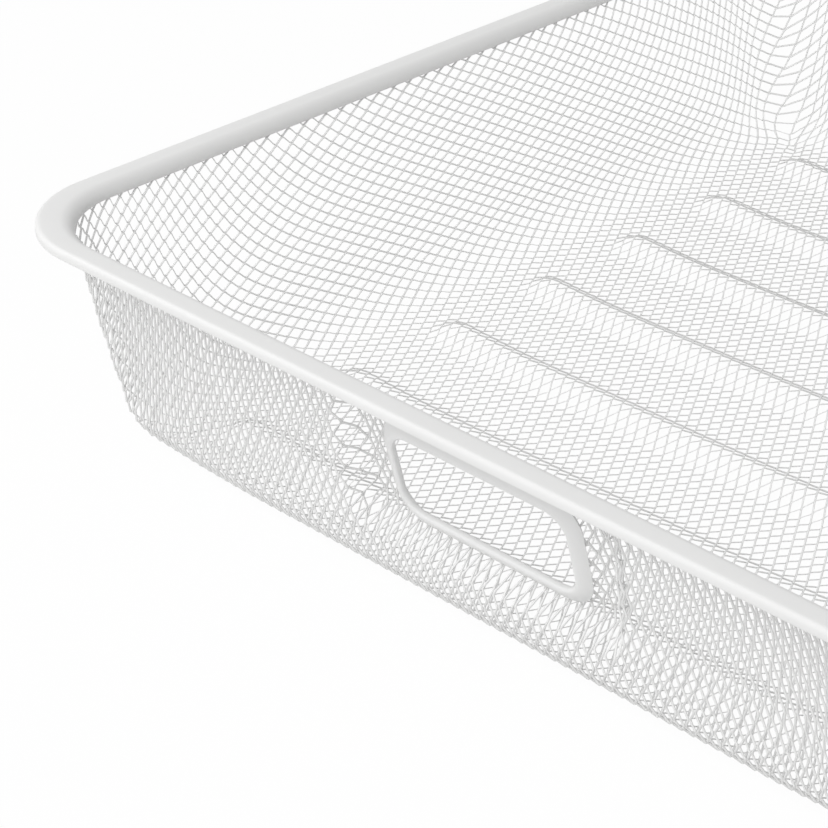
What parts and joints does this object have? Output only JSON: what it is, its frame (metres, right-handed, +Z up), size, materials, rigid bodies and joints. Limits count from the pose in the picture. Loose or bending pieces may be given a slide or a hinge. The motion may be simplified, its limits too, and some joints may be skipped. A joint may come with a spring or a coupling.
{
  "type": "wardrobe mesh basket",
  "caption": "White pull-out wardrobe basket pressed from expanded steel mesh, with a rolled steel rim, a ribbed floor and a lined hand hole in the front wall.",
  "frame": {"origin": "middle of the underside, on the surface the basket stands on", "axes": "+Z up, +X to the right along the front wall, +Y to the back; the hand hole is in the front wall at -Y"},
  "size_m": [0.52, 0.53, 0.1054],
  "materials": {
    "mesh_coat": "satin white powder coat",
    "rim_coat": "satin white powder coat",
    "ring_coat": "satin white powder coat"
  },
  "bodies": {
    "root": {"mesh_tray": "mesh_coat", "rim": "rim_coat", "handle_ring": "ring_coat"}
  },
  "joints": []
}
